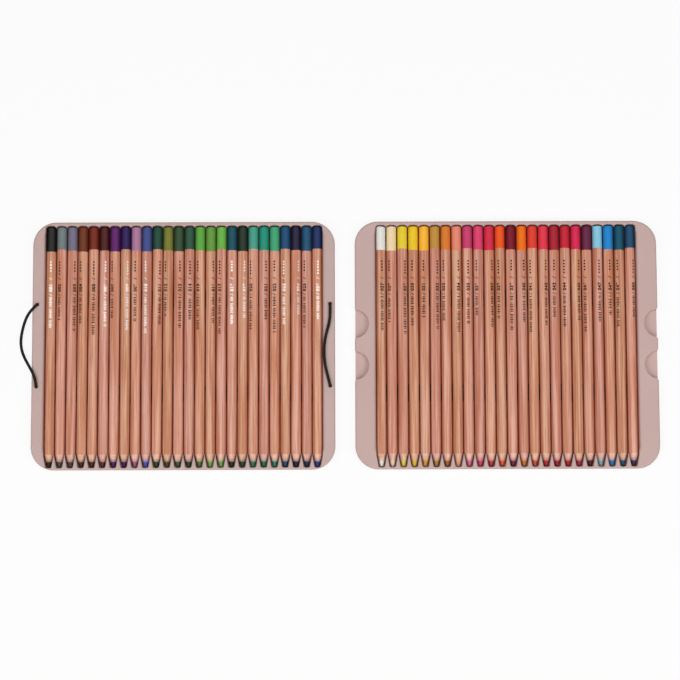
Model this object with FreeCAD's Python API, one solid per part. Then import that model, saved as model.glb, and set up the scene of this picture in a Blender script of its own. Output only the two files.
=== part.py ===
import FreeCAD
import Part
import math
import os

from FreeCAD import Vector

# A set of round coloured pencils in two thin formed trays, laid side by side.
# +X runs across the pencils, +Y from their points to their dipped ends, +Z up.
# The origin is on the surface they lie on, midway between the two trays.
# Lengths are millimetres and angles are degrees.

# Pencils
PENCIL_LENGTH = 177.0
PENCIL_DIAMETER = 7.0
CORE_DIAMETER = 4.3
CONE_LENGTH = 9.4
POINT_DIAMETER = 2.4
POINT_DOME = 0.4
END_ROUNDING = 0.8

# Rows of pencils
UPPER_GAP = 0.83
LOWER_GAP = 0.98

# Tray sheet and outline
SHEET = 0.7
TRAY_GAP = 14.3
UPPER_MARGIN = 9.2
FRONT_LAND = 1.7
BACK_LAND = 2.5
RIM_RISE = 1.4
CORNER_RADIUS = 17.2
RIM_ROUNDING = 1.5
SKIRT_DRAFT_DEGREES = 5.0

# Grooves, point pockets and the channels across them
GROOVE_CLEARANCE = 0.25
WALL_CLEARANCE = 0.2
POINT_SIDE_CLEARANCE = 1.0
POINT_END_CLEARANCE = 0.5
END_BOW = 1.2
# Share of the dipped end's rounding that the back wall's shoulder stands beside.
SHOULDER_SHARE = 0.25
TAPER_SETBACK = 1.0
RIDGE_DROP = 1.2
RIDGE_SETBACK = 0.6
FOOT_SINK = 0.12
LIP = 0.5
SIDE_ROUNDING = 2.4
SIDE_SETBACK = 1.5
SIDE_RUN_OUT = 4.0
# Share of the rounding that is left at the ends of its run-out, and how far its arc's middle stands off.
RUN_OUT_SHARE = 0.35
ARC_MIDDLE_SHARE = 0.33
CHANNEL_WIDTH = 12.8
CHANNEL_SPACING = 69.6
CHANNEL_LIFT = 0.2

# Thumb recesses of the lower tray
RECESS_RADIUS = 10.4
RECESS_BRIDGE = 9.8
RECESS_DEPTH = 5.0
RECESS_MOUTH_ROUNDING = 2.0
RECESS_FLOOR_BEVEL = 0.8

# Elastic lifting loops of the upper tray
CORD_DIAMETER = 2.2
CORD_LIFT = 0.3
CORD_HOLE_CLEARANCE = 0.25
CORD_HOLE_SPACING = 60.4
CORD_HOLE_INSET = 3.8
KNOT_DIAMETER = 4.6
KNOT_CLEARANCE = 0.15
KNOT_TAIL = 2.4
# Share of the shorter of two runs that the bend between them takes up.
BEND_RUN_SHARE = 0.45

# One overrun for every cut that has to pass through a face.
OVERRUN = 2.0

# Each point is to the left of the holes, along the tray's side and up from its top.
# The left loop falls outwards over the tray's edge, the right one lies inwards on the border.
LEFT_LOOP_ROUTE = [
    (3.4, 26.6, 2.2),
    (7.1, 22.0, 0.6),
    (9.9, 16.2, -2.6),
    (12.0, 9.5, -5.9),
    (12.9, 2.8, -7.6),
    (11.8, -3.6, -7.4),
    (9.0, -9.5, -4.4),
    (5.3, -15.2, 0.9),
    (2.0, -21.0, 2.2),
    (0.3, -26.2, 1.7),
]
RIGHT_LOOP_ROUTE = [
    (-0.1, 25.6, 1.4),
    (0.05, 20.6, 1.4),
    (0.8, 15.0, 1.4),
    (2.5, 9.4, 1.4),
    (3.8, 3.6, 1.4),
    (4.4, -2.3, 1.4),
    (4.4, -8.2, 1.4),
    (3.8, -14.2, 1.4),
    (2.6, -20.1, 1.4),
    (1.1, -25.6, 1.4),
]

UPPER_PENCILS = [
    "black",
    "grey_green",
    "violet_grey",
    "umber",
    "brick_brown",
    "sepia",
    "purple",
    "deep_violet",
    "mauve",
    "blue_violet",
    "viridian",
    "olive",
    "sap_green",
    "deep_green",
    "leaf_green",
    "moss_green",
    "grass_green",
    "teal_blue",
    "blackish_green",
    "turquoise_green",
    "jade",
    "light_green",
    "steel_blue",
    "indigo",
    "cyan_blue",
    "ultramarine",
]
LOWER_PENCILS = [
    "white",
    "cream",
    "lemon",
    "yellow",
    "golden_yellow",
    "ochre",
    "brown_orange",
    "salmon",
    "magenta_pink",
    "hot_pink",
    "coral",
    "orange_red",
    "maroon",
    "orange",
    "vermilion",
    "coral_red",
    "dark_red",
    "crimson",
    "raspberry",
    "aubergine",
    "sky_turquoise",
    "primary_blue",
    "deep_teal",
    "slate_navy",
]

PENCIL_RADIUS = PENCIL_DIAMETER / 2
CORE_RADIUS = CORE_DIAMETER / 2
POINT_RADIUS = POINT_DIAMETER / 2
GROOVE_RADIUS = PENCIL_RADIUS + GROOVE_CLEARANCE
UPPER_COUNT = len(UPPER_PENCILS)
LOWER_COUNT = len(LOWER_PENCILS)
UPPER_PITCH = PENCIL_DIAMETER + UPPER_GAP
LOWER_PITCH = PENCIL_DIAMETER + LOWER_GAP

# The groove's underside is cut flat where it stands, a little above its lowest line.
AXIS_HEIGHT = GROOVE_RADIUS + SHEET - FOOT_SINK
RIDGE_HEIGHT = AXIS_HEIGHT - RIDGE_DROP
TRAY_HEIGHT = AXIS_HEIGHT + PENCIL_RADIUS + RIM_RISE
TRAY_WIDTH = UPPER_COUNT * UPPER_PITCH + 2 * UPPER_MARGIN
END_CLEARANCE = END_BOW - SHOULDER_SHARE * END_ROUNDING
TRAY_DEPTH = FRONT_LAND + POINT_END_CLEARANCE + PENCIL_LENGTH + END_CLEARANCE + BACK_LAND
TRAY_OFFSET = (TRAY_WIDTH + TRAY_GAP) / 2
DRAFT = math.tan(math.radians(SKIRT_DRAFT_DEGREES))

POINT_Y = FRONT_LAND + POINT_END_CLEARANCE - TRAY_DEPTH / 2
# Where the pockets start to taper, a little past the edge of the pencils' cones.
TAPER_Y = POINT_Y + CONE_LENGTH - TAPER_SETBACK
END_Y = POINT_Y + PENCIL_LENGTH
# Where the back wall of a groove starts to bow.
SHOULDER_Y = END_Y + END_CLEARANCE - END_BOW

CORD_RADIUS = CORD_DIAMETER / 2
CORD_RISE = CORD_LIFT + CORD_RADIUS
CORD_HOLE_X = TRAY_WIDTH / 2 - CORD_HOLE_INSET
CORD_HOLE_Y = CORD_HOLE_SPACING / 2


def line(start, end):
    return Part.LineSegment(start, end).toShape()


def arc(start, through, end):
    return Part.Arc(start, through, end).toShape()


def row_places(count, pitch):
    """The X of each pencil's axis, from left to right about the tray's middle."""
    return [(number - (count - 1) / 2) * pitch for number in range(count)]


def turned(edges):
    """The solid that a closed profile in the XY plane makes round the Y axis."""
    face = Part.Face(Part.Wire(edges))
    return face.revolve(Vector(), Vector(0, 1, 0), 360)


def pencil():
    """A casing and its core along +Y with the point at the origin, as two solids."""
    taper = (PENCIL_RADIUS - POINT_RADIUS) / (CONE_LENGTH - POINT_DOME)
    bared_y = POINT_DOME + (CORE_RADIUS - POINT_RADIUS) / taper
    bared = Vector(CORE_RADIUS, bared_y, 0)
    core_end = Vector(CORE_RADIUS, PENCIL_LENGTH, 0)

    cone_edge = Vector(PENCIL_RADIUS, CONE_LENGTH, 0)
    round_start = Vector(PENCIL_RADIUS, PENCIL_LENGTH - END_ROUNDING, 0)
    round_end = Vector(PENCIL_RADIUS - END_ROUNDING, PENCIL_LENGTH, 0)
    round_middle = Vector(
        PENCIL_RADIUS - END_ROUNDING + END_ROUNDING * math.cos(math.pi / 4),
        PENCIL_LENGTH - END_ROUNDING + END_ROUNDING * math.sin(math.pi / 4),
        0,
    )
    casing = turned([
        line(bared, cone_edge),
        line(cone_edge, round_start),
        arc(round_start, round_middle, round_end),
        line(round_end, core_end),
        line(core_end, bared),
    ])

    tip = Vector(0, 0, 0)
    dome_edge = Vector(POINT_RADIUS, POINT_DOME, 0)
    dome_sphere = (POINT_RADIUS ** 2 + POINT_DOME ** 2) / (2 * POINT_DOME)
    half_angle = math.asin(POINT_RADIUS / dome_sphere) / 2
    dome_middle = Vector(
        dome_sphere * math.sin(half_angle), dome_sphere * (1 - math.cos(half_angle)), 0
    )
    axis_end = Vector(0, PENCIL_LENGTH, 0)
    core = turned([
        arc(tip, dome_middle, dome_edge),
        line(dome_edge, bared),
        line(bared, core_end),
        line(core_end, axis_end),
        line(axis_end, tip),
    ])
    return Part.makeCompound([casing, core])


def tray_outline(inset, z):
    """A rectangle with round corners, drawn in by the skirt's draft below the tray's top."""
    inset = inset + (TRAY_HEIGHT - z) * DRAFT
    x = TRAY_WIDTH / 2 - inset
    y = TRAY_DEPTH / 2 - inset
    radius = CORNER_RADIUS - inset
    lean = radius * (1 - math.cos(math.pi / 4))
    edges = []
    for side_x, side_y in ((1, 1), (-1, 1), (-1, -1), (1, -1)):
        on_side = Vector(side_x * x, side_y * (y - radius), z)
        middle = Vector(side_x * (x - lean), side_y * (y - lean), z)
        on_end = Vector(side_x * (x - radius), side_y * y, z)
        first, last = (on_side, on_end) if side_x * side_y > 0 else (on_end, on_side)
        if edges:
            edges.append(line(edges[-1].lastVertex().Point, first))
        edges.append(arc(first, middle, last))
    edges.append(line(edges[-1].lastVertex().Point, edges[0].firstVertex().Point))
    return Part.Wire(edges)


def tray_block(inset, low, high):
    """The tray's outer form, drawn in by the inset, and the edges round its top."""
    block = Part.makeLoft([tray_outline(inset, low), tray_outline(inset, high)], True, True)
    top_edges = [
        edge for edge in block.Edges
        if all(abs(vertex.Point.z - high) < SHEET / 2 for vertex in edge.Vertexes)
    ]
    return block, top_edges


def pocket_outline(grow, z):
    """One pencil's place seen from above: a bowed back, straight sides and a tapered front."""
    side = PENCIL_RADIUS + WALL_CLEARANCE + grow
    front = POINT_RADIUS + POINT_SIDE_CLEARANCE + grow
    back_right = Vector(side, SHOULDER_Y, z)
    back_left = Vector(-side, SHOULDER_Y, z)
    taper_right = Vector(side, TAPER_Y, z)
    taper_left = Vector(-side, TAPER_Y, z)
    front_right = Vector(front, POINT_Y, z)
    front_left = Vector(-front, POINT_Y, z)
    back_middle = Vector(0, END_Y + END_CLEARANCE + grow, z)
    front_middle = Vector(0, POINT_Y - POINT_END_CLEARANCE - grow, z)
    return Part.Wire([
        line(front_right, taper_right),
        line(taper_right, back_right),
        arc(back_right, back_middle, back_left),
        line(back_left, taper_left),
        line(taper_left, front_left),
        arc(front_left, front_middle, front_right),
    ])


def groove_section(grow):
    """A trough of the pencil's curve below its axis, open and wider above it."""
    radius = GROOVE_RADIUS + grow
    wide = radius + OVERRUN
    top = TRAY_HEIGHT + OVERRUN
    start_y = POINT_Y - OVERRUN - radius
    corners = [
        Vector(radius, start_y, AXIS_HEIGHT),
        Vector(wide, start_y, AXIS_HEIGHT),
        Vector(wide, start_y, top),
        Vector(-wide, start_y, top),
        Vector(-wide, start_y, AXIS_HEIGHT),
        Vector(-radius, start_y, AXIS_HEIGHT),
    ]
    edges = [line(first, second) for first, second in zip(corners, corners[1:])]
    edges.append(arc(corners[-1], Vector(0, start_y, AXIS_HEIGHT - radius), corners[0]))
    length = PENCIL_LENGTH + 2 * (OVERRUN + radius)
    return Part.Face(Part.Wire(edges)).extrude(Vector(0, length, 0))


def pocket(grow):
    """The room that one pencil takes in the tray, larger all round by grow."""
    low = -OVERRUN - grow
    plan = Part.Face(pocket_outline(grow, low))
    prism = plan.extrude(Vector(0, 0, TRAY_HEIGHT + OVERRUN - low))
    return prism.common(groove_section(grow))


def pocket_lip():
    """The bevel that softens a pocket's top edge."""
    low = pocket_outline(-LIP / 2, TRAY_HEIGHT - LIP - LIP / 2)
    high = pocket_outline(LIP + LIP, TRAY_HEIGHT + LIP)
    return Part.makeLoft([low, high], True, True)


def rounding_section(side, wall, top, width, y):
    """What a rounded edge takes off between a row's outer wall and the border beside it."""
    middle = ARC_MIDDLE_SHARE * width
    on_border = Vector(side * (wall + width), y, top)
    between = Vector(side * (wall + middle), y, top - middle)
    on_wall = Vector(side * wall, y, top - width)
    inside = Vector(side * (wall - width), y, top - width)
    over_inside = Vector(side * (wall - width), y, top + OVERRUN)
    over_border = Vector(side * (wall + width), y, top + OVERRUN)
    return Part.Wire([
        arc(on_border, between, on_wall),
        line(on_wall, inside),
        line(inside, over_inside),
        line(over_inside, over_border),
        line(over_border, on_border),
    ])


def side_roundings(row, grow):
    """The rounded edges along a row's two outer walls, each running out towards its ends."""
    wall = row[-1] + PENCIL_RADIUS + WALL_CLEARANCE + grow
    top = TRAY_HEIGHT - grow
    width = SIDE_ROUNDING - grow
    start = TAPER_Y + SIDE_SETBACK
    end = SHOULDER_Y - SIDE_SETBACK
    stations = [
        (start, RUN_OUT_SHARE * width),
        (start + SIDE_RUN_OUT, width),
        (end - SIDE_RUN_OUT, width),
        (end, RUN_OUT_SHARE * width),
    ]
    roundings = []
    for side in (-1, 1):
        sections = [rounding_section(side, wall, top, reach, y) for y, reach in stations]
        for first, second in zip(sections, sections[1:]):
            roundings.append(Part.makeLoft([first, second], True, True))
    return roundings


def cross_channels(row, lift, grow, top):
    """Two slots across the ridges, where a finger can get under the pencils."""
    width = CHANNEL_WIDTH + 2 * grow
    slots = []
    for side in (-1, 1):
        corner = Vector(row[0], side * CHANNEL_SPACING / 2 - width / 2, lift)
        slots.append(Part.makeBox(row[-1] - row[0], width, top - lift, corner))
    return slots


def ridge_clearing(row, grow):
    """The open room over the ridges, from the pencils' cones to their dipped ends."""
    start = TAPER_Y + RIDGE_SETBACK - grow
    length = SHOULDER_Y - RIDGE_SETBACK + grow - start
    floor = RIDGE_HEIGHT - grow
    height = TRAY_HEIGHT + OVERRUN - floor
    return Part.makeBox(row[-1] - row[0], length, height, Vector(row[0], start, floor))


def recess_outline(side, along, grow, z):
    """A half circle open at the tray's edge, with its two corners rounded outwards."""
    edge = TRAY_WIDTH / 2
    turn = RECESS_RADIUS + RECESS_MOUTH_ROUNDING
    reach = math.sqrt(turn ** 2 - RECESS_MOUTH_ROUNDING ** 2)
    radius = RECESS_RADIUS + grow
    rounding = RECESS_MOUTH_ROUNDING - grow
    lean = math.asin(RECESS_MOUTH_ROUNDING / turn)
    # The rounding spans from the edge's direction to the line between the two centres.
    middle_angle = (math.pi / 2 - lean) / 2

    def place(inward, y):
        return Vector(side * (edge - inward), along + y, z)

    def mouth(sign):
        centre_in, centre_y = RECESS_MOUTH_ROUNDING, sign * reach
        at_edge = place(centre_in - rounding, centre_y)
        between = place(
            centre_in - rounding * math.cos(middle_angle),
            centre_y - sign * rounding * math.sin(middle_angle),
        )
        on_circle = place(radius * math.sin(lean), sign * radius * math.cos(lean))
        outside = place(-OVERRUN, centre_y)
        return at_edge, between, on_circle, outside

    low_edge, low_between, low_circle, low_outside = mouth(-1)
    high_edge, high_between, high_circle, high_outside = mouth(1)
    return Part.Wire([
        line(low_outside, low_edge),
        arc(low_edge, low_between, low_circle),
        arc(low_circle, place(radius, 0), high_circle),
        arc(high_circle, high_between, high_edge),
        line(high_edge, high_outside),
        line(high_outside, low_outside),
    ])


def thumb_recesses(grow):
    """Four half-round recesses in the tray's side borders, each with a bevelled floor edge."""
    floor = TRAY_HEIGHT - RECESS_DEPTH - grow
    recesses = []
    for side in (-1, 1):
        for end in (-1, 1):
            along = end * (RECESS_RADIUS + RECESS_BRIDGE / 2)
            face = Part.Face(recess_outline(side, along, grow, floor))
            recess = face.extrude(Vector(0, 0, TRAY_HEIGHT + OVERRUN - floor))
            inner = TRAY_WIDTH / 2 - RECESS_MOUTH_ROUNDING
            floor_edges = [
                edge for edge in recess.Edges
                if edge.BoundBox.ZMax < floor + SHEET / 2
                and min(abs(edge.BoundBox.XMin), abs(edge.BoundBox.XMax)) < inner
            ]
            recesses.append(recess.makeChamfer(RECESS_FLOOR_BEVEL, floor_edges))
    return recesses


def copies(shape, row):
    """The shape once at each place of the row."""
    made = []
    for x in row:
        one = shape.copy()
        one.translate(Vector(x, 0, 0))
        made.append(one)
    return made


def formed_tray(count, pitch, has_recesses):
    """One sheet formed over pencil pockets: its upper form less the same form a sheet inside."""
    row = row_places(count, pitch)
    above = copies(pocket(0), row) + copies(pocket_lip(), row)
    above.append(ridge_clearing(row, 0))
    above += side_roundings(row, 0)
    above += cross_channels(row, SHEET + CHANNEL_LIFT, 0, RIDGE_HEIGHT + SHEET)
    below = copies(pocket(SHEET), row)
    below.append(ridge_clearing(row, SHEET))
    below += side_roundings(row, SHEET)
    below += cross_channels(row, CHANNEL_LIFT, SHEET, AXIS_HEIGHT)
    if has_recesses:
        above += thumb_recesses(0)
        below += thumb_recesses(SHEET)
    outside, rim = tray_block(0, 0, TRAY_HEIGHT)
    inside, hidden_rim = tray_block(SHEET, -OVERRUN, TRAY_HEIGHT - SHEET)
    upper_form = outside.makeFillet(RIM_ROUNDING, rim).cut(above)
    lower_form = inside.makeChamfer(RIM_ROUNDING - SHEET, hidden_rim).cut(below)
    return upper_form.cut(lower_form)


def cord_holes():
    """Four holes through the upper tray's side borders."""
    radius = CORD_RADIUS + CORD_HOLE_CLEARANCE
    height = SHEET + 2 * OVERRUN
    return [
        Part.makeCylinder(radius, height, Vector(x, y, TRAY_HEIGHT - SHEET - OVERRUN))
        for x in (-CORD_HOLE_X, CORD_HOLE_X)
        for y in (-CORD_HOLE_Y, CORD_HOLE_Y)
    ]


def stopper_knots(hole_x):
    """Two cord ends that fill their holes and swell to a knot under the border."""
    knot_radius = KNOT_DIAMETER / 2
    knot_z = TRAY_HEIGHT - SHEET - KNOT_CLEARANCE - knot_radius
    tail_z = knot_z - knot_radius - KNOT_TAIL
    ends = []
    for y in (-CORD_HOLE_Y, CORD_HOLE_Y):
        knot = Part.makeSphere(knot_radius, Vector(hole_x, y, knot_z))
        stem = Part.makeCylinder(CORD_RADIUS, TRAY_HEIGHT - tail_z, Vector(hole_x, y, tail_z))
        ends.append(knot.fuse(stem).removeSplitter())
    return Part.makeCompound(ends)


def loop_points(hole_x, route):
    """The loop's points in the tray: its two ends over the holes and the route between them."""
    points = [Vector(hole_x, CORD_HOLE_Y, TRAY_HEIGHT + CORD_RISE)]
    for left, along, up in route:
        points.append(Vector(hole_x - left, along, TRAY_HEIGHT + up))
    points.append(Vector(hole_x, -CORD_HOLE_Y, TRAY_HEIGHT + CORD_RISE))
    return points


def lifting_loop(name, points):
    """A round cord along straight runs joined by arcs, with round ends."""
    edges = []
    radii = []
    start = points[0]
    for before, corner, after in zip(points, points[1:], points[2:]):
        back = (before - corner).normalize()
        ahead = (after - corner).normalize()
        half_turn = (math.pi - back.getAngle(ahead)) / 2
        run = min(before.distanceToPoint(corner), after.distanceToPoint(corner))
        reach = BEND_RUN_SHARE * run
        radius = reach / math.tan(half_turn)
        first = corner + back * reach
        last = corner + ahead * reach
        inwards = (back + ahead).normalize()
        middle = corner + inwards * (radius / math.cos(half_turn) - radius)
        edges.append(line(start, first))
        edges.append(arc(first, middle, last))
        radii.append(radius)
        start = last
    edges.append(line(start, points[-1]))
    path = Part.Wire(edges)
    section = Part.Wire([Part.makeCircle(CORD_RADIUS, points[0], points[1] - points[0])])
    tube = path.makePipeShell([section], True, False)
    expected = math.pi * CORD_RADIUS ** 2 * path.Length
    print(name, "length", round(path.Length, 2), "least radius", round(min(radii), 2))
    print(name, "volume", round(tube.Volume, 2), "section times length", round(expected, 2))
    for end in (points[0], points[-1]):
        tube = tube.fuse(Part.makeSphere(CORD_RADIUS, end))
    return tube


def write_node(name, shape, x):
    """Moves a tray's piece to that tray's place and writes it."""
    placed = shape.copy()
    placed.translate(Vector(x, 0, 0))
    placed.exportStep("parts/" + name + ".step")
    solids = placed.Solids
    print(name, len(solids), placed.isValid(), round(sum(solid.Volume for solid in solids), 1))


os.makedirs("parts", exist_ok=True)

write_node("lower_tray", formed_tray(LOWER_COUNT, LOWER_PITCH, True), TRAY_OFFSET)
write_node("upper_tray", formed_tray(UPPER_COUNT, UPPER_PITCH, False).cut(cord_holes()), -TRAY_OFFSET)

left_points = loop_points(-CORD_HOLE_X, LEFT_LOOP_ROUTE)
right_points = loop_points(CORD_HOLE_X, RIGHT_LOOP_ROUTE)
write_node("left_lift_cord", lifting_loop("left_lift_cord", left_points), -TRAY_OFFSET)
write_node("right_lift_cord", lifting_loop("right_lift_cord", right_points), -TRAY_OFFSET)
write_node("left_cord_knots", stopper_knots(-CORD_HOLE_X), -TRAY_OFFSET)
write_node("right_cord_knots", stopper_knots(CORD_HOLE_X), -TRAY_OFFSET)

laid_pencil = pencil()
laid_pencil.translate(Vector(0, POINT_Y, AXIS_HEIGHT))
for colours, count, pitch, tray_x in (
    (UPPER_PENCILS, UPPER_COUNT, UPPER_PITCH, -TRAY_OFFSET),
    (LOWER_PENCILS, LOWER_COUNT, LOWER_PITCH, TRAY_OFFSET),
):
    for colour, x in zip(colours, row_places(count, pitch)):
        write_node(colour + "_pencil", laid_pencil, tray_x + x)
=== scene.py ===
import math

import bmesh
import bpy
import numpy as np
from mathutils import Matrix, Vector


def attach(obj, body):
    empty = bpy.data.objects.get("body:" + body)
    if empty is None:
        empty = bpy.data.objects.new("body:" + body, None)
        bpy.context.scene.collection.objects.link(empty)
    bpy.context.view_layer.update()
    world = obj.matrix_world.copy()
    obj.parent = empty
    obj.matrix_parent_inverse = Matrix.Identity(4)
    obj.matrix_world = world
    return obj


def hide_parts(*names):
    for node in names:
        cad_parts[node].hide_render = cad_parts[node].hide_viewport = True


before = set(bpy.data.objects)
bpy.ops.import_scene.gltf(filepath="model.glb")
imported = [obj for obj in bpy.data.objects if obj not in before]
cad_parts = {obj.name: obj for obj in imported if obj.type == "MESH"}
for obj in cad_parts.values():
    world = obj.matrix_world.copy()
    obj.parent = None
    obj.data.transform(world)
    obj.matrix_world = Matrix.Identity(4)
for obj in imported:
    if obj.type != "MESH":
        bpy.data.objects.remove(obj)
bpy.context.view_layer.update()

# Lower tray
# One sheet of dusty pink polystyrene, warmed and drawn over a mould with a groove for each pencil.
# It stands on its grooves and on the trimmed edge of its skirt, and is held by nothing else.
LOWER_SHEET_COLOUR = "CEB2AD"
LOWER_SHEET_SHADE = "C6A8A2"
LOWER_ROW_MIDDLE = 0.11814
LOWER_ROW_HALF = 0.0972
LOWER_ROW_PITCH = 0.00798


def linear(code):
    """An sRGB hex colour as linear red, green, blue and alpha."""
    srgb = np.array([int(code[i:i + 2], 16) for i in (0, 2, 4)]) / 255
    low = srgb / 12.92
    high = ((srgb + 0.055) / 1.055) ** 2.4
    return [*np.where(srgb <= 0.04045, low, high).tolist(), 1.0]


def add(tree, kind, options=(), values=(), links=()):
    """Adds one node, sets its options and its inputs' values, and links its inputs to their sources."""
    node = tree.nodes.new("ShaderNode" + kind)
    for name, value in dict(options).items():
        setattr(node, name, value)
    for name, value in dict(values).items():
        node.inputs[name].default_value = value
    for name, source in dict(links).items():
        tree.links.new(source, node.inputs[name])
    return node


def painted_groove_shade(tree, place, row_middle, row_half, row_pitch):
    """Colour and share of the painted shade in the grooves, which stands for the shade between and round
    the pencils.

    It lies on the upper faces below the border's height, most of it between the pencils and on the wall
    behind their dipped ends. It is darker at the bottom, beside the dipped ends and in the pockets for the
    points.
    """
    # Colours of the painted shade: shallow and deep in the grooves, beside the dark dipped ends and round
    # the points.
    shallow_shade, deep_shade = "943E1E", "461206"
    dip_side_shade, point_pocket_shade = "36100A", "7C3F2A"
    shade_start_z, shade_full_z, shade_most = 0.0091, 0.0070, 0.92
    deep_top, deep_low = 0.0029, 0.0021
    full_within, none_beyond = 0.0005, 0.0012
    overhang, level = -0.15, 0.05
    groove_middle, groove_half, wall_half, wall_inset = 0.0008, 0.0864, 0.0879, 0.0025
    wall_start, wall_end, wall_most = 0.0868, 0.0876, 0.95
    pocket_start, pocket_end, pocket_most = -0.0780, -0.0800, 0.45
    dip_side_start, dip_side_end, dip_side_most = 0.0690, 0.0715, 0.9
    spot = add(tree, "SeparateXYZ", links={"Vector": place})
    upward = add(tree, "SeparateXYZ", links={"Vector": add(tree, "NewGeometry").outputs["True Normal"]})
    off_middle = add(tree, "Math", {"operation": "SUBTRACT"}, {1: row_middle}, {0: spot.outputs["X"]})
    aside = add(tree, "Math", {"operation": "ABSOLUTE"}, links={0: off_middle.outputs["Value"]})
    in_row = add(tree, "Math", {"operation": "LESS_THAN"}, {1: row_half}, {0: aside.outputs["Value"]})
    behind = add(
        tree, "Math", {"operation": "LESS_THAN"}, {1: row_half - wall_inset}, {0: aside.outputs["Value"]}
    )
    half_length = add(
        tree, "MapRange", values={"To Min": groove_half, "To Max": wall_half},
        links={"Value": behind.outputs["Value"]},
    )
    in_length = add(
        tree, "Math", {"operation": "COMPARE"}, {1: groove_middle},
        {0: spot.outputs["Y"], 2: half_length.outputs["Result"]},
    )
    off_gap = add(
        tree, "Math", {"operation": "PINGPONG"}, {1: row_pitch / 2}, {0: off_middle.outputs["Value"]}
    )
    # Painted shade in the gaps between the pencils.
    between = add(
        tree, "MapRange",
        values={"From Min": full_within, "From Max": none_beyond, "To Min": 1.0, "To Max": 0.0},
        links={"Value": off_gap.outputs["Value"]},
    )
    # Painted shade in the pockets round the points.
    at_points = add(
        tree, "MapRange", values={"From Min": pocket_start, "From Max": pocket_end, "To Max": pocket_most},
        links={"Value": spot.outputs["Y"]},
    )
    # Painted shade on the wall behind the dipped ends, where the gap to the wall lies in shadow.
    on_wall = add(
        tree, "MapRange", values={"From Min": wall_start, "From Max": wall_end, "To Max": wall_most},
        links={"Value": spot.outputs["Y"]},
    )
    crosswise = add(
        tree, "Math", {"operation": "MAXIMUM"},
        links={0: on_wall.outputs["Result"], 1: at_points.outputs["Result"]},
    )
    spread = add(
        tree, "Math", {"operation": "MAXIMUM"},
        links={0: between.outputs["Result"], 1: crosswise.outputs["Value"]},
    )
    below = add(
        tree, "MapRange", values={"From Min": shade_start_z, "From Max": shade_full_z, "To Max": shade_most},
        links={"Value": spot.outputs["Z"]},
    )
    facing = add(
        tree, "MapRange", values={"From Min": overhang, "From Max": level},
        links={"Value": upward.outputs["Z"]},
    )
    share = in_row.outputs["Value"]
    for part in (
        in_length.outputs["Value"], spread.outputs["Value"],
        below.outputs["Result"], facing.outputs["Result"],
    ):
        share = add(tree, "Math", {"operation": "MULTIPLY"}, links={0: share, 1: part}).outputs["Value"]
    # The painted shade is darker towards the bottom of the grooves.
    depth = add(
        tree, "MapRange", values={"From Min": deep_top, "From Max": deep_low},
        links={"Value": spot.outputs["Z"]},
    )
    graded_shade = add(
        tree, "Mix", {"data_type": "RGBA"}, {"A": linear(shallow_shade), "B": linear(deep_shade)},
        {"Factor": depth.outputs["Result"]},
    )
    # The painted shade is darker beside the dark dipped ends.
    at_ends = add(
        tree, "MapRange",
        values={"From Min": dip_side_start, "From Max": dip_side_end, "To Max": dip_side_most},
        links={"Value": spot.outputs["Y"]},
    )
    shade_with_dips = add(
        tree, "Mix", {"data_type": "RGBA"}, {"B": linear(dip_side_shade)},
        {"A": graded_shade.outputs["Result"], "Factor": at_ends.outputs["Result"]},
    )
    colour = add(
        tree, "Mix", {"data_type": "RGBA"}, {"B": linear(point_pocket_shade)},
        {"A": shade_with_dips.outputs["Result"], "Factor": at_points.outputs["Result"]},
    )
    return colour.outputs["Result"], share


def formed_polystyrene(name, colour, shade, row_middle, row_half, row_pitch):
    """Vacuum-formed polystyrene: matte, with a fine mould grain and a faint cloudiness from drawing.

    The painted shade in its grooves has no gloss.
    """
    cloud_size = 0.045
    grain_size, grain_depth, grain_strength = 0.0007, 0.00003, 0.5
    rough_low, rough_high = 0.48, 0.66
    clean_gloss = 0.08
    material = bpy.data.materials.new(name)
    material.use_nodes = True
    tree = material.node_tree
    place = add(tree, "TexCoord").outputs["Object"]
    cloud = add(tree, "TexNoise", values={"Scale": 1 / cloud_size, "Detail": 3.0}, links={"Vector": place})
    grain = add(tree, "TexNoise", values={"Scale": 1 / grain_size, "Detail": 2.0}, links={"Vector": place})
    clouded = add(
        tree, "Mix", {"data_type": "RGBA"}, {"A": linear(colour), "B": linear(shade)},
        {"Factor": cloud.outputs["Fac"]},
    )
    # Painted shade in the grooves, laid over the sheet's colour; the cone's pigment smear in cedar() shares
    # the name.
    smear_and_shade, shade_share = painted_groove_shade(tree, place, row_middle, row_half, row_pitch)
    groove_shaded = add(
        tree, "Mix", {"data_type": "RGBA"},
        links={"A": clouded.outputs["Result"], "B": smear_and_shade, "Factor": shade_share},
    )
    dulled = add(
        tree, "MapRange", values={"To Min": rough_low, "To Max": rough_high},
        links={"Value": grain.outputs["Fac"]},
    )
    raised = add(
        tree, "Bump", values={"Strength": grain_strength, "Distance": grain_depth},
        links={"Height": grain.outputs["Fac"]},
    )
    gloss = add(
        tree, "MapRange", values={"To Min": clean_gloss, "To Max": 0.0}, links={"Value": shade_share}
    )
    shader = tree.nodes["Principled BSDF"]
    shader.inputs["IOR"].default_value = 1.5
    tree.links.new(gloss.outputs["Result"], shader.inputs["Specular IOR Level"])
    tree.links.new(groove_shaded.outputs["Result"], shader.inputs["Base Color"])
    tree.links.new(dulled.outputs["Result"], shader.inputs["Roughness"])
    tree.links.new(raised.outputs["Normal"], shader.inputs["Normal"])
    return material


lower_sheet = formed_polystyrene(
    "formed polystyrene, lower tray", LOWER_SHEET_COLOUR, LOWER_SHEET_SHADE,
    LOWER_ROW_MIDDLE, LOWER_ROW_HALF, LOWER_ROW_PITCH,
)
lower_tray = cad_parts["lower_tray"]
lower_tray.data.materials.clear()
lower_tray.data.materials.append(lower_sheet)

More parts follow.
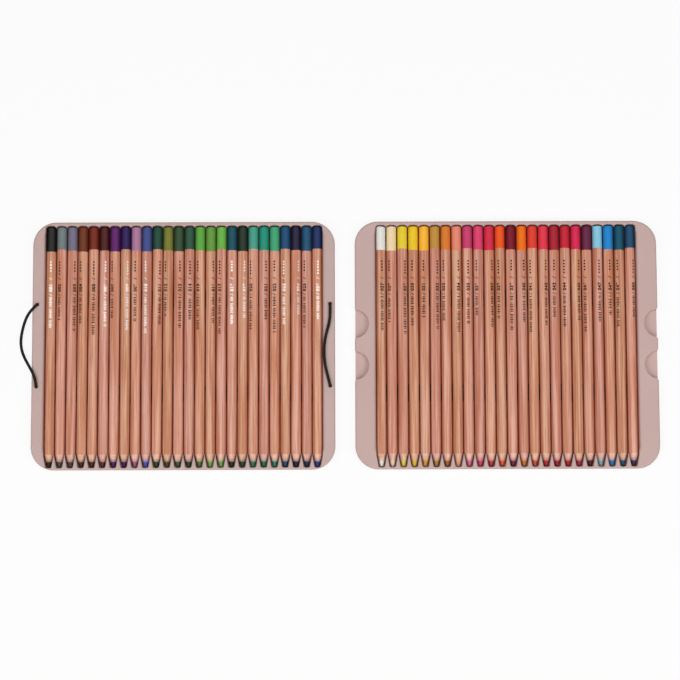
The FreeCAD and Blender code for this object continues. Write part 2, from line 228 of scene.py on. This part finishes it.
# Upper tray
# The same formed sheet with two more grooves, and a border with four holes for its lifting cords.
# It lies on the lower tray in use, and beside it here.
UPPER_SHEET_COLOUR = "CCB2AC"
UPPER_SHEET_SHADE = "C3A7A1"
UPPER_ROW_MIDDLE = -0.11814
UPPER_ROW_HALF = 0.1031
UPPER_ROW_PITCH = 0.00783

upper_sheet = formed_polystyrene(
    "formed polystyrene, upper tray", UPPER_SHEET_COLOUR, UPPER_SHEET_SHADE,
    UPPER_ROW_MIDDLE, UPPER_ROW_HALF, UPPER_ROW_PITCH,
)
upper_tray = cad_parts["upper_tray"]
upper_tray.data.materials.clear()
upper_tray.data.materials.append(upper_sheet)

# Lifting loops
# Two lengths of black braided elastic, threaded down through the upper tray's border and knotted below.
# The left one has flopped over the tray's edge, and the right one lies inwards on the border.
CORD_RADIUS = 0.0011
HOLE_X = {"left": -0.22533, "right": -0.01095}
HOLE_Y = 0.0302
BORDER_TOP = 0.00923
CORD_RISE = 0.0014
# Millimetres to the left of the holes, along the tray's side and up from the border.
LOOP_ROUTES = {
    "left": [
        (0.0, 30.2, 1.4), (3.4, 26.6, 2.2), (7.1, 22.0, 0.6), (9.9, 16.2, -2.6), (12.0, 9.5, -5.9),
        (12.9, 2.8, -7.6), (11.8, -3.6, -7.4), (9.0, -9.5, -4.4), (5.3, -15.2, 0.9), (2.0, -21.0, 2.2),
        (0.3, -26.2, 1.7), (0.0, -30.2, 1.4),
    ],
    "right": [
        (0.0, 30.2, 1.4), (-0.1, 25.6, 1.4), (0.05, 20.6, 1.4), (0.8, 15.0, 1.4), (2.5, 9.4, 1.4),
        (3.8, 3.6, 1.4), (4.4, -2.3, 1.4), (4.4, -8.2, 1.4), (3.8, -14.2, 1.4), (2.6, -20.1, 1.4),
        (1.1, -25.6, 1.4), (0.0, -30.2, 1.4),
    ],
}


def ring_faces(rings, around):
    """Faces of a closed form of rings between two poles: fans at its ends and quads between its rings."""
    here = np.arange(around)
    there = (here + 1) % around
    row = 1 + around * np.arange(rings - 1)[:, None]
    quads = np.stack([row + here, row + there, row + around + there, row + around + here], axis=-1)
    last = 1 + around * (rings - 1)
    first_fan = np.stack([np.zeros(around, int), there + 1, here + 1], axis=-1)
    last_fan = np.stack([np.full(around, last + around), last + here, last + there], axis=-1)
    return first_fan.tolist() + quads.reshape(-1, 4).tolist() + last_fan.tolist()


def mesh_piece(name, points, faces, smooth_below):
    """A mesh object at the origin, smooth where its faces meet at less than that angle in degrees."""
    mesh = bpy.data.meshes.new(name)
    mesh.from_pydata(points.tolist(), [], faces)
    mesh.shade_smooth()
    mesh.set_sharp_from_angle(angle=math.radians(smooth_below))
    piece = bpy.data.objects.new(name, mesh)
    bpy.context.collection.objects.link(piece)
    return piece


def spline_points(name, route):
    """Points of the smooth NURBS line that has the route as its control points."""
    curve = bpy.data.curves.new(name, "CURVE")
    curve.dimensions = "3D"
    curve.resolution_u = 28
    spline = curve.splines.new("NURBS")
    spline.points.add(len(route) - 1)
    spline.points.foreach_set("co", np.column_stack([route, np.ones(len(route))]).ravel())
    spline.order_u = 3
    spline.use_endpoint_u = True
    carrier = bpy.data.objects.new(name, curve)
    line = bpy.data.meshes.new_from_object(carrier)
    points = np.empty(3 * len(line.vertices))
    line.vertices.foreach_get("co", points)
    bpy.data.objects.remove(carrier)
    bpy.data.curves.remove(curve)
    bpy.data.meshes.remove(line)
    return points.reshape(-1, 3)


def braided_cord(name, path):
    """A round cord along a path with round ends.

    Its radius rises and falls with cos(6 turn) cos(length), which sets the bumps of a braid in diamonds.
    """
    around = 36
    bumps_around = 6
    bump_length = 0.0016
    bump_share = 0.035
    cap = np.radians(np.linspace(80, 10, 6))
    run = np.gradient(path, axis=0)
    run /= np.linalg.norm(run, axis=1, keepdims=True)
    steps = np.linalg.norm(np.diff(path, axis=0), axis=1)
    along = np.concatenate([[0], np.cumsum(steps)])
    centre = np.concatenate([
        path[0] - CORD_RADIUS * np.sin(cap)[:, None] * run[0],
        path,
        path[-1] + CORD_RADIUS * np.sin(cap[::-1])[:, None] * run[-1],
    ])
    ahead = np.concatenate([np.repeat(run[:1], cap.size, 0), run, np.repeat(run[-1:], cap.size, 0)])
    radius = CORD_RADIUS * np.concatenate([np.cos(cap), np.ones(len(path)), np.cos(cap[::-1])])
    travel = np.concatenate([np.full(cap.size, along[0]), along, np.full(cap.size, along[-1])])
    side = np.cross([0, 0, 1], ahead)
    side /= np.linalg.norm(side, axis=1, keepdims=True)
    over = np.cross(ahead, side)
    turn = np.linspace(0, 2 * np.pi, around, endpoint=False)
    braid = np.cos(bumps_around * turn) * np.cos(2 * np.pi * travel / bump_length)[:, None]
    reach = radius[:, None] * (1 + bump_share * (braid - 1))
    rings = centre[:, None] + reach[..., None] * (
        np.cos(turn)[:, None] * side[:, None] + np.sin(turn)[:, None] * over[:, None]
    )
    first = path[0] - CORD_RADIUS * run[0]
    last = path[-1] + CORD_RADIUS * run[-1]
    points = np.concatenate([[first], rings.reshape(-1, 3), [last]])
    return mesh_piece(name, points, ring_faces(len(centre), around), 60)


def stopper_knots(name, hole_x):
    """Two cord ends hanging in their holes, each swollen to a knot under the border.

    The radius follows the knot's ball along the cord, with slanting furrows where the cord laps over
    itself.
    """
    around = 32
    sheet, clearance = 0.0007, 0.00015
    knot_radius, tail_length, stem_share = 0.0023, 0.0024, 0.96
    knot_height = BORDER_TOP - sheet - clearance - knot_radius
    tail_end = knot_height - knot_radius - tail_length
    furrows, furrow_slant, furrow_share = 3, 2.4, 0.10
    height = np.concatenate([
        np.linspace(tail_end, knot_height - knot_radius, 8)[:-1],
        np.linspace(knot_height - knot_radius, knot_height + knot_radius, 22),
        np.linspace(knot_height + knot_radius, BORDER_TOP + CORD_RISE, 6)[1:],
    ])
    turn = np.linspace(0, 2 * np.pi, around, endpoint=False)
    ball = np.sqrt(np.clip(knot_radius ** 2 - (height - knot_height) ** 2, 0, None))
    swell = np.clip((ball - CORD_RADIUS) / (knot_radius - CORD_RADIUS), 0, 1)
    rise = ((height - knot_height) / knot_radius)[:, None]
    lap = 0.5 + 0.5 * np.cos(furrows * turn + furrow_slant * rise)
    reach = np.maximum(ball, CORD_RADIUS * stem_share)[:, None] * (1 - furrow_share * swell[:, None] * lap)
    ends = []
    for y in (-HOLE_Y, HOLE_Y):
        ring = np.stack([
            hole_x + reach * np.cos(turn),
            y + reach * np.sin(turn),
            np.broadcast_to(height[:, None], reach.shape),
        ], axis=-1)
        low = [hole_x, y, height[0] - CORD_RADIUS / 4]
        high = [hole_x, y, height[-1]]
        ends.append(np.concatenate([[low], ring.reshape(-1, 3), [high]]))
    faces = ring_faces(height.size, around)
    second = [[corner + len(ends[0]) for corner in face] for face in faces]
    return mesh_piece(name, np.concatenate(ends), faces + second, 50)


def braided_elastic(name):
    """Polyester yarn braided over rubber: black, soft and dull, with a faint sheen from its fibres."""
    yarn_dark, yarn_light = "100E0E", "1E1A19"
    yarn_size, yarn_depth, yarn_strength = 0.0004, 0.00004, 0.6
    material = bpy.data.materials.new(name)
    material.use_nodes = True
    tree = material.node_tree
    place = add(tree, "TexCoord").outputs["Object"]
    yarn = add(tree, "TexNoise", values={"Scale": 1 / yarn_size, "Detail": 2.0}, links={"Vector": place})
    fibres = add(
        tree, "Mix", {"data_type": "RGBA"}, {"A": linear(yarn_dark), "B": linear(yarn_light)},
        {"Factor": yarn.outputs["Fac"]},
    )
    fuzz = add(
        tree, "Bump", values={"Strength": yarn_strength, "Distance": yarn_depth},
        links={"Height": yarn.outputs["Fac"]},
    )
    shader = tree.nodes["Principled BSDF"]
    shader.inputs["Roughness"].default_value = 0.75
    shader.inputs["Specular IOR Level"].default_value = 0.15
    shader.inputs["Sheen Weight"].default_value = 0.04
    tree.links.new(fibres.outputs["Result"], shader.inputs["Base Color"])
    tree.links.new(fuzz.outputs["Normal"], shader.inputs["Normal"])
    return material


elastic = braided_elastic("braided polyester elastic")
for side in ("left", "right"):
    knots = stopper_knots(side + "_knots", HOLE_X[side])
    knots.data.materials.append(elastic)
    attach(knots, "upper_tray")
    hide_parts(side + "_cord_knots")
    left, along, up = np.array(LOOP_ROUTES[side]).T / 1000
    route = np.stack([HOLE_X[side] - left, along, BORDER_TOP + up], axis=-1)
    path = spline_points(side + "_loop_line", route)
    loop = braided_cord(side + "_loop", path)
    loop.data.materials.append(elastic)
    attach(loop, side + "_cord")
    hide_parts(side + "_lift_cord")

# Pencils
# A thick pigment core glued between two halves of incense cedar, turned round, clear coated and sharpened.
# The end is dipped in lacquer of the core's colour and the number is stamped in foil. They lie loose.
PENCIL_LENGTH = 0.177
PENCIL_RADIUS = 0.0035
CORE_RADIUS = 0.00215
CONE_LENGTH = 0.0094
POINT_RADIUS = 0.0012
POINT_DOME = 0.0004
END_ROUNDING = 0.0008
POINT_Y = -0.08915
AXIS_HEIGHT = 0.00433
DIP_LENGTH, DIP_SWING = 0.0174, 0.0009
ROLL_SWING = math.radians(34)
# Each pencil's colour, its dipped lacquer and its pigment core, from left to right.
UPPER_ROW = [
    ("black", "0A0A09", "1C1917"), ("grey_green", "717D7D", "454544"), ("violet_grey", "767084", "4A4347"),
    ("umber", "692F13", "3B2614"), ("brick_brown", "70220F", "4A2116"), ("sepia", "3E0606", "5A2422"),
    ("purple", "591C64", "4B1B60"), ("deep_violet", "240B4C", "3C1656"), ("mauve", "AE7B9E", "94587F"),
    ("blue_violet", "3D4C86", "4A58BA"), ("viridian", "114031", "1F4534"), ("olive", "757930", "4A421E"),
    ("sap_green", "2C462A", "3F523C"), ("deep_green", "244F3A", "27402C"),
    ("leaf_green", "5CA640", "4C7430"), ("moss_green", "64973F", "76A657"),
    ("grass_green", "6AB448", "6AA44E"), ("teal_blue", "084A56", "1E2826"),
    ("blackish_green", "0E2414", "1F4232"), ("turquoise_green", "479E8A", "2F7A5E"),
    ("jade", "1C8F76", "1F6B4E"), ("light_green", "42A376", "2F7E6A"), ("steel_blue", "15466E", "2B4568"),
    ("indigo", "0F0B2A", "2A1A34"), ("cyan_blue", "194C6E", "222C48"), ("ultramarine", "132858", "2C3C86"),
]
LOWER_ROW = [
    ("white", "ECEAE5", "EFECE6"), ("cream", "F6DDB0", "EBD3B0"), ("lemon", "EDD334", "E0CE4E"),
    ("yellow", "F3CC28", "DDB93C"), ("golden_yellow", "FFBB39", "D49A34"), ("ochre", "C2913F", "A88336"),
    ("brown_orange", "DE7C2C", "A0622A"), ("salmon", "EC8B73", "E0A080"),
    ("magenta_pink", "C93F70", "CE6A90"),
    ("hot_pink", "E1416F", "D2426C"), ("coral", "D42B45", "BE3650"), ("orange_red", "F2571B", "E0562E"),
    ("maroon", "760022", "74204A"), ("orange", "F5700C", "C8742C"), ("vermilion", "E0402E", "C8503C"),
    ("coral_red", "E5364A", "B42A3C"), ("dark_red", "A61C30", "A8202E"), ("crimson", "C52035", "B42636"),
    ("raspberry", "D72551", "A42B43"), ("aubergine", "601B3D", "4A1C2C"),
    ("sky_turquoise", "8CCFE4", "78A8B6"), ("primary_blue", "1D86CD", "2478B4"),
    ("deep_teal", "004B62", "284E66"), ("slate_navy", "154366", "332E4C"),
]
# Pencils of the upper row, counted from the left, whose stamping is in pale foil.
PALE_FOIL = (1, 6, 8, 10, 18, 19, 23, 24, 26)


def pencil_profile(dip_length):
    """Radius and distance from the point, ring by ring, and the ring at which each finish ends.

    A domed point, a straight cone over core and cedar, a straight barrel, the small step and bead of the
    lacquer, and a quarter circle round the end.
    """
    coat = 0.00005
    bead_distance = np.array([0.00004, 0.00012, 0.00030, 0.00055])
    bead_height = np.array([1.0, 1.7, 1.5, 1.0])
    dome = (POINT_RADIUS ** 2 + POINT_DOME ** 2) / (2 * POINT_DOME)
    dome_turn = np.arcsin(POINT_RADIUS / dome) * np.linspace(0.25, 1, 4)
    taper = (PENCIL_RADIUS - POINT_RADIUS) / (CONE_LENGTH - POINT_DOME)
    core_y = np.linspace(POINT_DOME, POINT_DOME + (CORE_RADIUS - POINT_RADIUS) / taper, 5)[1:]
    cone_y = np.linspace(core_y[-1], CONE_LENGTH, 5)[1:]
    barrel_y = np.linspace(CONE_LENGTH, PENCIL_LENGTH - dip_length, 12)[1:]
    bead_y = barrel_y[-1] + bead_distance
    end_turn = np.radians(np.linspace(0, 90, 9))
    radius = np.concatenate([
        dome * np.sin(dome_turn),
        POINT_RADIUS + taper * (core_y - POINT_DOME),
        POINT_RADIUS + taper * (cone_y - POINT_DOME),
        np.full(barrel_y.size, PENCIL_RADIUS),
        PENCIL_RADIUS + coat * bead_height,
        PENCIL_RADIUS + coat - END_ROUNDING * (1 - np.cos(end_turn)),
    ])
    distance = np.concatenate([
        dome * (1 - np.cos(dome_turn)), core_y, cone_y, barrel_y, bead_y,
        PENCIL_LENGTH - END_ROUNDING * (1 - np.sin(end_turn)),
    ])
    return radius, distance, np.cumsum([dome_turn.size + core_y.size, cone_y.size, barrel_y.size])


def stamped_marks(number, dots):
    """Foil marks laid flat: dots, two slanted strokes, a three-figure number and a band of short bars.

    Gives points (along the pencil from its point, across it), faces and rims, which are the faces' outer
    edges. The faces are cut at even heights, so that they can follow the barrel's curve.
    """
    first_dot, dot_spacing, dot_radius = 0.1510, 0.0022, 0.00066
    number_start, number_size, number_drop = 0.1290, 0.0034, 0.0012
    number_weight, number_spacing = 0.00016, 1.18
    strokes = (0.1389, 0.1270)
    stroke_lean, stroke_half, stroke_width = 0.0006, 0.0012, 0.00052
    band_start, band_spacing, band_width = 0.1242, 0.00122, 0.00066
    low_half, high_half, fewest_bars, word = 0.00070, 0.00125, 12, 7
    cut, cuts = 0.0003, 4
    flat = bmesh.new()
    letters = bpy.data.curves.new("number", "FONT")
    letters.body = "%03d" % number
    letters.size = number_size
    letters.space_character = number_spacing
    letters.offset = number_weight
    carrier = bpy.data.objects.new("number", letters)
    figures = bpy.data.meshes.new_from_object(carrier)
    flat.from_mesh(figures)
    bmesh.ops.translate(flat, verts=flat.verts, vec=(number_start, -number_drop, 0))
    bpy.data.objects.remove(carrier)
    bpy.data.curves.remove(letters)
    bpy.data.meshes.remove(figures)
    turn = np.linspace(0, 2 * np.pi, 12, endpoint=False)
    dot = dot_radius * np.stack([np.cos(turn), np.sin(turn)], axis=-1)
    outlines = [dot + [first_dot - dot_spacing * place, 0] for place in range(dots)]
    stroke = np.array([
        (-stroke_lean - stroke_width, -stroke_half), (-stroke_lean, -stroke_half),
        (stroke_lean, stroke_half), (stroke_lean - stroke_width, stroke_half),
    ])
    outlines += [stroke + [place, 0] for place in strokes]
    for place in range(fewest_bars + 7 * number % 12):
        if (place + number) % word:
            half = low_half + (high_half - low_half) * (0.5 + 0.5 * math.sin(2.3 * place + number))
            bar = np.array([(0, -half), (band_width, -half), (band_width, half), (0, half)])
            outlines.append(bar + [band_start - band_spacing * place, 0])
    for outline in outlines:
        flat.faces.new([flat.verts.new((x, y, 0)) for x, y in outline])
    for height in cut * np.arange(-cuts, cuts + 1):
        bmesh.ops.bisect_plane(
            flat, geom=flat.verts[:] + flat.edges[:] + flat.faces[:],
            plane_co=(0, height, 0), plane_no=(0, 1, 0),
        )
    flat.verts.index_update()
    points = np.array([vertex.co[:2] for vertex in flat.verts])
    faces = [[vertex.index for vertex in face.verts] for face in flat.faces]
    rims = [
        [vertex.index for vertex in edge.verts] if edge.link_loops[0].vert == edge.verts[0]
        else [vertex.index for vertex in reversed(edge.verts)]
        for edge in flat.edges if len(edge.link_faces) == 1
    ]
    flat.free()
    return points, faces, rims


def foil_on_barrel(points, faces, rims, roll):
    """Wraps flat marks round the barrel, turned by roll, as closed flakes half sunk in the coat.

    A point at height h goes to the turn roll - h / radius, so that the figures stand towards -X.
    """
    foil = 0.00003
    turn = roll - points[:, 1] / PENCIL_RADIUS
    along = points[:, 0]
    sheets = [
        np.stack([reach * np.sin(turn), along, reach * np.cos(turn)], axis=-1)
        for reach in (PENCIL_RADIUS + foil, PENCIL_RADIUS - foil)
    ]
    under = len(points)
    bottoms = [[corner + under for corner in reversed(face)] for face in faces]
    sides = [[second, first, first + under, second + under] for first, second in rims]
    return np.concatenate(sheets), faces + bottoms + sides


def pencil(name, x, number, dip, core, dip_length, roll, dots, finishes):
    """One pencil lying along +Y: its profile turned round its axis, with the foil marks on its barrel.

    Its cedar differs a little from its neighbours' in lightness and between yellow and pink.
    """
    around = 48
    lightness, green_shift, blue_shift = 0.05, 0.02, 0.07
    radius, distance, ends = pencil_profile(dip_length)
    turn = np.linspace(0, 2 * np.pi, around, endpoint=False)
    rings = np.stack([
        radius[:, None] * np.sin(turn),
        np.broadcast_to(distance[:, None], (radius.size, around)),
        radius[:, None] * np.cos(turn),
    ], axis=-1).reshape(-1, 3)
    body = np.concatenate([[(0, 0, 0)], rings, [(0, PENCIL_LENGTH, 0)]])
    body_faces = ring_faces(radius.size, around)
    marks, mark_faces = foil_on_barrel(*stamped_marks(number, dots), roll)
    mark_faces = [[corner + len(body) for corner in face] for face in mark_faces]
    points = np.concatenate([body, marks]) + [x, POINT_Y, AXIS_HEIGHT]
    piece = mesh_piece(name, points, body_faces + mark_faces, 13)
    band = np.concatenate([
        [0] * around, np.repeat(np.arange(1, radius.size), around), [radius.size] * around,
    ])
    finish = np.searchsorted(ends, band, side="right")
    finish = np.concatenate([finish, np.full(len(mark_faces), len(finishes) - 1)])
    piece.data.polygons.foreach_set("material_index", finish)
    for material in finishes:
        piece.data.materials.append(material)
    swing = np.sin(1.7 * number + 0.4)
    light = 1 + lightness * np.sin(2.9 * number + 1.1)
    tint = [light, light + green_shift * swing, light - blue_shift * swing, 1.0]
    for attribute, colour in (("dip", linear(dip)), ("core", linear(core)), ("cedar_tint", tint)):
        layer = piece.data.attributes.new(attribute, "FLOAT_COLOR", "POINT")
        layer.data.foreach_set("color", np.tile(colour, len(points)))
    return piece


def cedar(name, pale, mid, dark, smear_and_shade, gloss):
    """Incense cedar: straight pinkish grain, in broad soft streaks and fine dark lines along the pencil.

    The barrel has a thin clear coat. The sharpened cone is bare, and a little pigment has smeared up it.
    """
    streak_width, streak_length, streak_low, streak_high = 0.0018, 0.090, 0.40, 0.60
    line_width, line_length, line_low, line_high, line_most = 0.00045, 0.030, 0.50, 0.80, 0.75
    ridge_depth, ridge_strength = 0.00003, 0.4
    rough_low, rough_high = 0.36, 0.58
    smear_start, smear_end = POINT_Y + 0.0041, POINT_Y + 0.0072
    material = bpy.data.materials.new(name)
    material.use_nodes = True
    tree = material.node_tree
    place = add(tree, "TexCoord").outputs["Object"]
    broad = add(
        tree, "Mapping", {"vector_type": "POINT"},
        {"Scale": (1 / streak_width, 1 / streak_length, 1 / streak_width)}, {"Vector": place},
    )
    narrow = add(
        tree, "Mapping", {"vector_type": "POINT"},
        {"Scale": (1 / line_width, 1 / line_length, 1 / line_width)}, {"Vector": place},
    )
    streaks = add(
        tree, "TexNoise", values={"Scale": 1.0, "Detail": 3.0}, links={"Vector": broad.outputs["Vector"]}
    )
    lines = add(
        tree, "TexNoise", values={"Scale": 1.0, "Detail": 2.0}, links={"Vector": narrow.outputs["Vector"]}
    )
    streak_share = add(
        tree, "MapRange", values={"From Min": streak_low, "From Max": streak_high},
        links={"Value": streaks.outputs["Fac"]},
    )
    line_share = add(
        tree, "MapRange", values={"From Min": line_low, "From Max": line_high, "To Max": line_most},
        links={"Value": lines.outputs["Fac"]},
    )
    streaked = add(
        tree, "Mix", {"data_type": "RGBA"}, {"A": linear(pale), "B": linear(mid)},
        {"Factor": streak_share.outputs["Result"]},
    )
    lined = add(
        tree, "Mix", {"data_type": "RGBA"}, {"B": linear(dark)},
        {"A": streaked.outputs["Result"], "Factor": line_share.outputs["Result"]},
    )
    tint = add(tree, "Attribute", {"attribute_name": "cedar_tint"})
    tinted = add(
        tree, "Mix", {"data_type": "RGBA", "blend_type": "MULTIPLY"}, {"Factor": 1.0},
        {"A": lined.outputs["Result"], "B": tint.outputs["Color"]},
    )
    colour = tinted.outputs["Result"]
    if smear_and_shade:
        pigment = add(tree, "Attribute", {"attribute_name": "core"})
        spot = add(tree, "SeparateXYZ", links={"Vector": place})
        smear = add(
            tree, "MapRange", {"interpolation_type": "SMOOTHSTEP"},
            {"From Min": smear_start, "From Max": smear_end, "To Min": smear_and_shade, "To Max": 0.0},
            {"Value": spot.outputs["Y"]},
        )
        smeared = add(
            tree, "Mix", {"data_type": "RGBA"}, links={
                "A": colour, "B": pigment.outputs["Color"], "Factor": smear.outputs["Result"],
            },
        )
        colour = smeared.outputs["Result"]
    rough = add(
        tree, "MapRange", values={"To Min": rough_low, "To Max": rough_high},
        links={"Value": lines.outputs["Fac"]},
    )
    ridged = add(
        tree, "Bump", values={"Strength": ridge_strength, "Distance": ridge_depth},
        links={"Height": lines.outputs["Fac"]},
    )
    shader = tree.nodes["Principled BSDF"]
    shader.inputs["IOR"].default_value = 1.5
    shader.inputs["Specular IOR Level"].default_value = gloss
    tree.links.new(colour, shader.inputs["Base Color"])
    tree.links.new(rough.outputs["Result"], shader.inputs["Roughness"])
    tree.links.new(ridged.outputs["Normal"], shader.inputs["Normal"])
    return material


def coloured(name, attribute, rough_low, rough_high, spot_size, spot_depth, gloss):
    """A surface in the pencil's own colour, faintly uneven at the size of its spots."""
    shade_low, shade_high = 0.92, 1.08
    spot_strength = 0.4
    material = bpy.data.materials.new(name)
    material.use_nodes = True
    tree = material.node_tree
    place = add(tree, "TexCoord").outputs["Object"]
    own = add(tree, "Attribute", {"attribute_name": attribute})
    spots = add(tree, "TexNoise", values={"Scale": 1 / spot_size, "Detail": 2.0}, links={"Vector": place})
    shade = add(
        tree, "MapRange", values={"To Min": shade_low, "To Max": shade_high},
        links={"Value": spots.outputs["Fac"]},
    )
    shaded = add(
        tree, "VectorMath", {"operation": "SCALE"}, links={
            "Vector": own.outputs["Color"], "Scale": shade.outputs["Result"],
        },
    )
    rough = add(
        tree, "MapRange", values={"To Min": rough_low, "To Max": rough_high},
        links={"Value": spots.outputs["Fac"]},
    )
    uneven = add(
        tree, "Bump", values={"Strength": spot_strength, "Distance": spot_depth},
        links={"Height": spots.outputs["Fac"]},
    )
    shader = tree.nodes["Principled BSDF"]
    shader.inputs["IOR"].default_value = 1.48
    shader.inputs["Specular IOR Level"].default_value = gloss
    tree.links.new(shaded.outputs["Vector"], shader.inputs["Base Color"])
    tree.links.new(rough.outputs["Result"], shader.inputs["Roughness"])
    tree.links.new(uneven.outputs["Normal"], shader.inputs["Normal"])
    return material


def stamping_foil(name, colour, worn, metallic):
    """Hot-stamped foil: a thin film that has worn through in specks."""
    speck_size = 0.0004
    wear_low, wear_high, wear_most = 0.55, 0.75, 0.3
    material = bpy.data.materials.new(name)
    material.use_nodes = True
    tree = material.node_tree
    place = add(tree, "TexCoord").outputs["Object"]
    specks = add(tree, "TexNoise", values={"Scale": 1 / speck_size, "Detail": 2.0}, links={"Vector": place})
    wear = add(
        tree, "MapRange", values={"From Min": wear_low, "From Max": wear_high, "To Max": wear_most},
        links={"Value": specks.outputs["Fac"]},
    )
    film = add(
        tree, "Mix", {"data_type": "RGBA"}, {"A": linear(colour), "B": linear(worn)},
        {"Factor": wear.outputs["Result"]},
    )
    shader = tree.nodes["Principled BSDF"]
    shader.inputs["Metallic"].default_value = metallic
    shader.inputs["Roughness"].default_value = 0.45
    shader.inputs["Specular IOR Level"].default_value = 0.1
    tree.links.new(film.outputs["Result"], shader.inputs["Base Color"])
    return material


core_finish = coloured("wax-bound pigment", "core", 0.50, 0.75, 0.0008, 0.00004, 0.3)
cone_finish = cedar("sharpened incense cedar", "ECC1AD", "DEA992", "C78C78", 0.50, 0.15)
barrel_finish = cedar("clear-coated incense cedar", "E1AB94", "C68061", "A15236", 0.0, 0.3)
dip_finish = coloured("dipped nitrocellulose lacquer", "dip", 0.40, 0.50, 0.0018, 0.00001, 0.28)
dark_foil = stamping_foil("black stamping foil", "16100E", "5A3A2C", 0.0)
pale_foil = stamping_foil("silver stamping foil", "D9D6D2", "C9A893", 0.6)
rows = (
    (UPPER_ROW, UPPER_ROW_PITCH, UPPER_ROW_MIDDLE, 0, PALE_FOIL),
    (LOWER_ROW, LOWER_ROW_PITCH, LOWER_ROW_MIDDLE, len(UPPER_ROW), ()),
)
for row, pitch, middle, before, pale in rows:
    for place, (colour, dip, core) in enumerate(row, start=1):
        number = before + place
        foil = pale_foil if place in pale else dark_foil
        made = pencil(
            colour, middle + (place - (len(row) + 1) / 2) * pitch, number, dip, core,
            dip_length=DIP_LENGTH + DIP_SWING * math.sin(2.1 * number),
            roll=ROLL_SWING * math.sin(2.4 * number + 0.7),
            dots=4 + number % 3 // 2,
            finishes=(core_finish, cone_finish, barrel_finish, dip_finish, foil),
        )
        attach(made, colour + "_pencil")
        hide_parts(colour + "_pencil")

# Floor and backdrop
# A plain white studio table, far larger than the set, that keeps the set's soft shadow.
# What the camera, a gloss or a glass sees of it is nearly white of itself.
FLOOR_HALF = 6.0
OWN_WHITE = 0.88
corners = FLOOR_HALF * np.array([(-1, -1, 0), (1, -1, 0), (1, 1, 0), (-1, 1, 0)])
floor = mesh_piece("floor", corners, [[0, 1, 2, 3]], 30)
table = bpy.data.materials.new("white studio table")
table.use_nodes = True
tree = table.node_tree
shader = tree.nodes["Principled BSDF"]
shader.inputs["Base Color"].default_value = linear("F2F2F2")
shader.inputs["Roughness"].default_value = 0.9
shader.inputs["Specular IOR Level"].default_value = 0.0
rays = add(tree, "LightPath")
straight = add(
    tree, "Math", {"operation": "MAXIMUM"},
    links={0: rays.outputs["Is Camera Ray"], 1: rays.outputs["Is Glossy Ray"]},
)
seen = add(
    tree, "Math", {"operation": "MAXIMUM"},
    links={0: straight.outputs["Value"], 1: rays.outputs["Is Transmission Ray"]},
)
share = add(tree, "Math", {"operation": "MULTIPLY"}, {1: OWN_WHITE}, {0: seen.outputs["Value"]})
white = add(tree, "Emission", values={"Color": (1, 1, 1, 1), "Strength": 1.0})
mixed = add(
    tree, "MixShader",
    links={0: share.outputs["Value"], 1: shader.outputs["BSDF"], 2: white.outputs["Emission"]},
)
tree.links.new(mixed.outputs["Shader"], tree.nodes["Material Output"].inputs["Surface"])
floor.data.materials.append(table)

# Light
# An even white room, two broad soft boxes at the sides and a smaller one above, which draws the gloss
# along the pencils. Together they are at the level where a colour renders about as written.
ROOM_LIGHT = 0.12
LAMP_DISTANCE = 1.7
SIDE_POWER, SIDE_SIZE = 12.8, 1.0
SIDE_TURN, SIDE_LEAN = math.radians(28), math.radians(20)
TOP_POWER, TOP_SIZE, TOP_LEAN = 4.2, 0.5, math.radians(-7)
room = bpy.data.worlds.new("room")
room.use_nodes = True
bpy.context.scene.world = room
tree = room.node_tree
rays = add(tree, "LightPath")
straight = add(
    tree, "Math", {"operation": "MAXIMUM"},
    links={0: rays.outputs["Is Camera Ray"], 1: rays.outputs["Is Glossy Ray"]},
)
seen = add(
    tree, "Math", {"operation": "MAXIMUM"},
    links={0: straight.outputs["Value"], 1: rays.outputs["Is Transmission Ray"]},
)
level = add(
    tree, "MapRange", values={"To Min": ROOM_LIGHT, "To Max": 1.0}, links={"Value": seen.outputs["Value"]}
)
sky = tree.nodes["Background"]
sky.inputs["Color"].default_value = (1, 1, 1, 1)
tree.links.new(level.outputs["Result"], sky.inputs["Strength"])
for name, power, size, turn, lean in (
    ("left soft box", SIDE_POWER, SIDE_SIZE, -SIDE_TURN, SIDE_LEAN),
    ("right soft box", SIDE_POWER, SIDE_SIZE, SIDE_TURN, SIDE_LEAN),
    ("top soft box", TOP_POWER, TOP_SIZE, 0.0, TOP_LEAN),
):
    lamp = bpy.data.objects.new(name, bpy.data.lights.new(name, "AREA"))
    lamp.data.energy = power
    lamp.data.size = size
    lamp.location = LAMP_DISTANCE * Vector((
        math.sin(turn), -math.sin(lean) * math.cos(turn), math.cos(lean) * math.cos(turn),
    ))
    lamp.rotation_euler = lamp.location.to_track_quat("Z", "Y").to_euler()
    bpy.context.collection.objects.link(lamp)

# Camera
# A long lens above the set, leaning a little towards the points as in the photograph.
# The width is what it sees at the middle of the set.
VIEW_WIDTH = 0.4973
VIEW_DISTANCE = 1.6
VIEW_LEAN = math.radians(6.7)
VIEW_ROLL = math.radians(-0.18)
VIEW_MIDDLE = (-0.0037, 0.0035, 0.0085)
camera = bpy.data.objects.new("camera", bpy.data.cameras.new("camera"))
camera.data.lens = camera.data.sensor_width * VIEW_DISTANCE / VIEW_WIDTH
camera.location = (
    VIEW_MIDDLE[0] + VIEW_DISTANCE * math.sin(VIEW_LEAN) * math.sin(VIEW_ROLL),
    VIEW_MIDDLE[1] - VIEW_DISTANCE * math.sin(VIEW_LEAN) * math.cos(VIEW_ROLL),
    VIEW_MIDDLE[2] + VIEW_DISTANCE * math.cos(VIEW_LEAN),
)
camera.rotation_euler = (VIEW_LEAN, 0, VIEW_ROLL)
bpy.context.collection.objects.link(camera)
bpy.context.scene.camera = camera
bpy.context.scene.view_settings.view_transform = "Standard"
